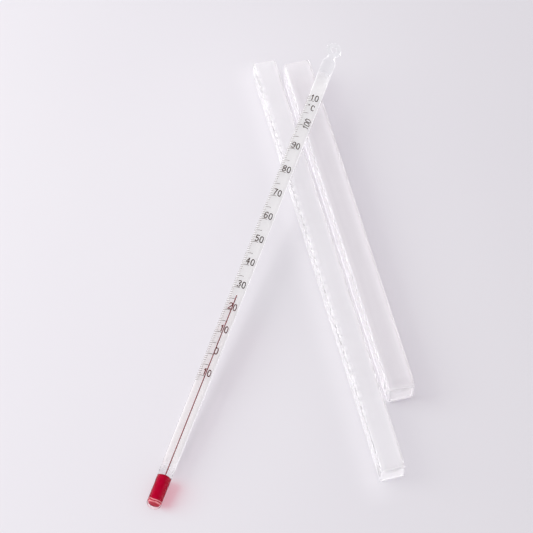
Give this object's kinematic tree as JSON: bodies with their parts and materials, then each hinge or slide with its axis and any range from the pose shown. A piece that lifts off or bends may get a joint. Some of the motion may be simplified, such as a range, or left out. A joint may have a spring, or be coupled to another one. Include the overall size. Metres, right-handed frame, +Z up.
{
  "type": "spirit thermometer with case",
  "caption": "Glass stem thermometer with a red spirit bulb, printed scale and hanging ring, lying across the two open halves of its square telescoping plastic case.",
  "frame": {"origin": "centre of the outer sleeve's resting face, on the table", "axes": "+Z up from the table; +Y along both sleeves towards their open ends; +X from the inner sleeve to the outer sleeve"},
  "size_m": [0.1673, 0.2672, 0.0261],
  "materials": {
    "clear_glass": "clear polished glass",
    "red_spirit": "dyed red alcohol seen through glass",
    "white_enamel": "opal white glass strip",
    "scale_ink": "dark brown fired ink, graduations and numerals",
    "outer_sleeve_plastic": "clear, slightly milky moulded plastic",
    "inner_sleeve_plastic": "clear, slightly milky moulded plastic"
  },
  "bodies": {
    "outer_sleeve": {"outer_sleeve": "outer_sleeve_plastic"},
    "inner_sleeve": {"inner_sleeve": "inner_sleeve_plastic"},
    "thermometer": {"stem_glass": "clear_glass", "bulb_glass": "clear_glass", "bulb_spirit": "red_spirit", "spirit_thread": "red_spirit", "enamel_backing": "white_enamel", "printed_scale": "scale_ink", "hanging_ring": "clear_glass"},
    "spirit": {"spirit_meniscus": "red_spirit"}
  },
  "joints": [
    {"name": "inner_sleeve_slide", "type": "slide", "parent": "outer_sleeve", "child": "inner_sleeve", "axis": [0.0037, -1, 0], "range_m": [0, 0.19]},
    {"name": "thermometer_lift", "type": "slide", "parent": "outer_sleeve", "child": "thermometer", "axis": [0, 0, 1], "range_m": [0, 0.12]},
    {"name": "spirit_rise", "type": "slide", "parent": "thermometer", "child": "spirit", "axis": [0.5472, 0.8345, 0.0644], "range_m": [-0.0508, 0.12848], "deforming": ["spirit_thread"]}
  ]
}
